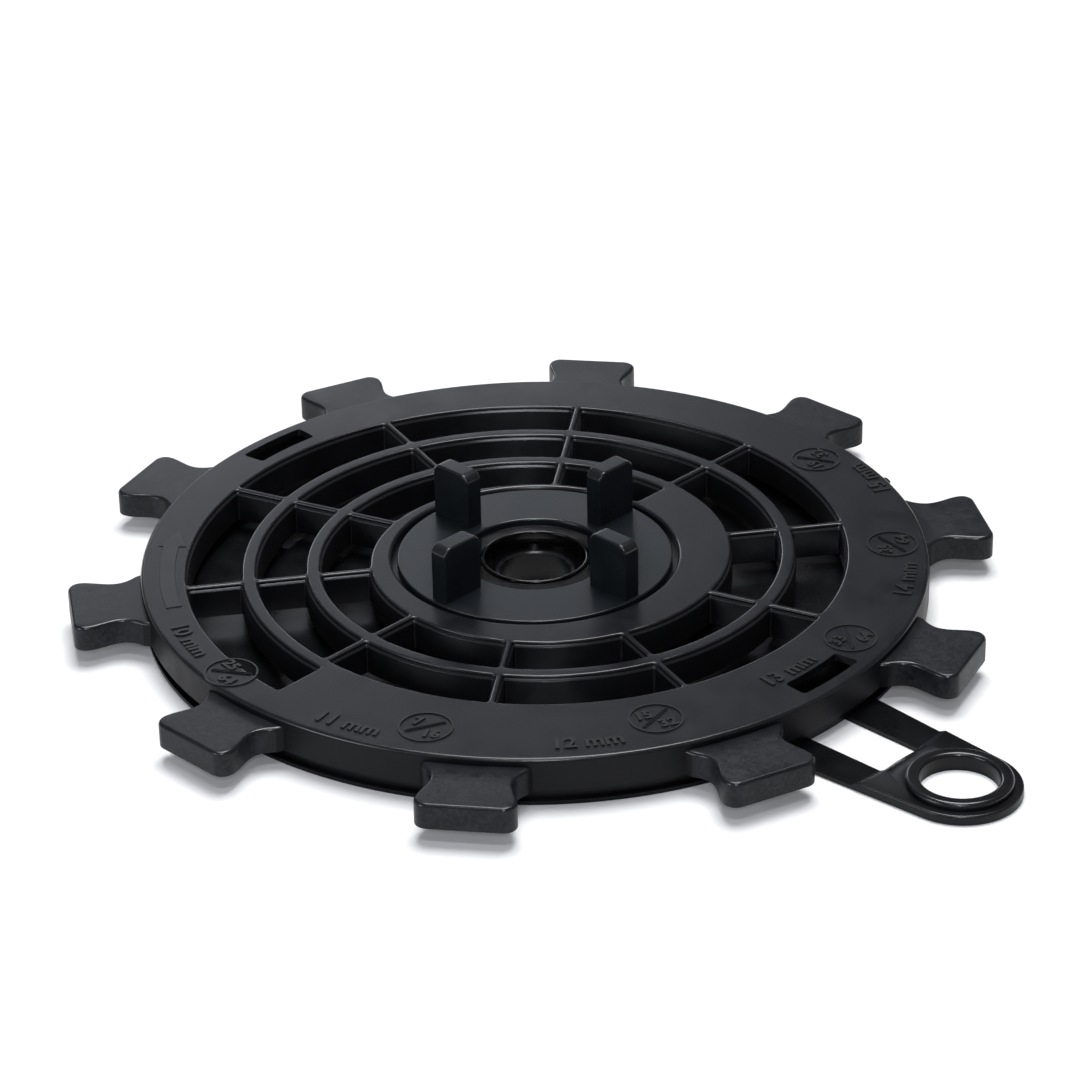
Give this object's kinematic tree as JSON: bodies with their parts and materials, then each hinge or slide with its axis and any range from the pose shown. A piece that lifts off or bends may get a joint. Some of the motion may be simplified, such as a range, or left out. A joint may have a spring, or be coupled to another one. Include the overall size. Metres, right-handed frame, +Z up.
{
  "type": "decking pedestal",
  "caption": "Low adjustable decking pedestal: toothed disc with a spiral grille on a round base, tabbed spacer insert and a lever with an eye.",
  "frame": {"origin": "on the turning axis, at the floor that the base lies on", "axes": "+Z up along the turning axis, -Y towards the picture's camera"},
  "size_m": [0.2356, 0.236, 0.0278],
  "materials": {
    "head_plastic": "spark-eroded moulded polypropylene",
    "insert_plastic": "spark-eroded moulded polypropylene",
    "bush_plastic": "smooth moulded plastic",
    "base_plastic": "moulded polypropylene"
  },
  "bodies": {
    "base": {"base_with_lever": "base_plastic"},
    "bush": {"centre_bush": "bush_plastic"},
    "head": {"head": "head_plastic"},
    "insert": {"spacer_insert": "insert_plastic"}
  },
  "joints": [
    {"name": "lift", "type": "slide", "parent": "base", "child": "bush", "axis": [0, 0, 1], "range_m": [-0.003, 0.002]},
    {"name": "turn", "type": "hinge", "parent": "bush", "child": "head", "pos_m": [0, 0, 0], "axis": [0, 0, -1], "range_deg": [-108, 72]},
    {"name": "insert_turn", "type": "hinge", "parent": "head", "child": "insert", "pos_m": [0, 0, 0], "axis": [0, 0, 1], "continuous": true}
  ],
  "couplings": [
    {"joint": "lift", "follows": "turn", "m_per_rad": 0.0015915}
  ]
}
